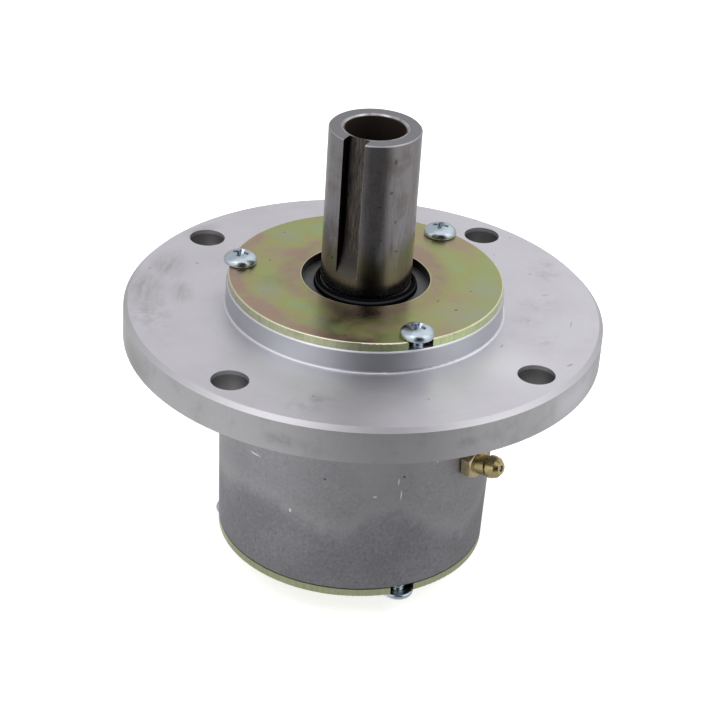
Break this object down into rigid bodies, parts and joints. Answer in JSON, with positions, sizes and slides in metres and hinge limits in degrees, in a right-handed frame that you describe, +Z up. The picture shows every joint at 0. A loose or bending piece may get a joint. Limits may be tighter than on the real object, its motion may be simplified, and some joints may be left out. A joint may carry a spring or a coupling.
{
  "type": "mower deck spindle",
  "caption": "Flanged aluminium spindle housing with a hollow keyed shaft on ball bearings, shaft seals under screwed cover plates and an angled grease fitting on the barrel.",
  "frame": {"origin": "centre of the flange's upper face, on the shaft's axis, in the plane of the deck bolts", "axes": "+Z up the shaft to its pulley end; the four deck bolt holes lie at 45, 135, 225 and 315 degrees from +X"},
  "size_m": [0.1346, 0.1346, 0.1365],
  "materials": {
    "cast_aluminium": "sand-cast barrel, machined flange and boss",
    "yellow_zinc_steel": "yellow zinc plated",
    "bright_zinc_steel": "bright zinc plated",
    "ground_shaft_steel": "ground, lightly oiled",
    "bearing_steel": "ground and lapped",
    "cage_nylon": "moulded nylon",
    "seal_case_steel": "pressed, phosphated",
    "seal_rubber": "moulded nitrile",
    "spring_steel": "oiled spring steel",
    "sleeve_steel": "turned",
    "fitting_brass": "turned and plated"
  },
  "bodies": {
    "housing": {"spindle_housing": "cast_aluminium", "upper_cover_plate": "yellow_zinc_steel", "lower_cover_plate": "yellow_zinc_steel", "upper_cover_screws": "bright_zinc_steel", "lower_cover_screws": "bright_zinc_steel", "upper_seal_case": "seal_case_steel", "upper_seal_lip": "seal_rubber", "upper_seal_garter_spring": "spring_steel", "lower_seal_case": "seal_case_steel", "lower_seal_lip": "seal_rubber", "lower_seal_garter_spring": "spring_steel", "upper_bearing_outer_ring": "bearing_steel", "lower_bearing_outer_ring": "bearing_steel", "grease_fitting_base": "fitting_brass", "grease_fitting_nipple": "fitting_brass", "grease_check_spring": "spring_steel"},
    "shaft": {"spindle_shaft": "ground_shaft_steel", "upper_bearing_inner_ring": "bearing_steel", "lower_bearing_inner_ring": "bearing_steel", "bearing_spacer": "sleeve_steel", "upper_retaining_ring": "spring_steel", "lower_retaining_ring": "spring_steel"},
    "upper_ball_set": {"upper_bearing_cage": "cage_nylon", "upper_bearing_balls": "bearing_steel"},
    "lower_ball_set": {"lower_bearing_cage": "cage_nylon", "lower_bearing_balls": "bearing_steel"},
    "check_ball": {"grease_check_ball": "bearing_steel"}
  },
  "joints": [
    {"name": "shaft_spin", "type": "hinge", "parent": "housing", "child": "shaft", "pos_m": [0, 0, 0], "axis": [0, 0, 1], "continuous": true},
    {"name": "upper_ball_orbit", "type": "hinge", "parent": "housing", "child": "upper_ball_set", "pos_m": [0, 0, 0], "axis": [0, 0, 1], "continuous": true},
    {"name": "lower_ball_orbit", "type": "hinge", "parent": "housing", "child": "lower_ball_set", "pos_m": [0, 0, 0], "axis": [0, 0, 1], "continuous": true},
    {"name": "check_ball_lift", "type": "slide", "parent": "housing", "child": "check_ball", "axis": [-0.7191, 0.6706, -0.1822], "range_m": [0, 0.0008], "stiffness_N_per_m": 200, "springref_m": -0.0004, "deforming": ["grease_check_spring"]}
  ],
  "couplings": [
    {"joint": "upper_ball_orbit", "follows": "shaft_spin", "ratio": 0.3972},
    {"joint": "lower_ball_orbit", "follows": "shaft_spin", "ratio": 0.3972}
  ]
}
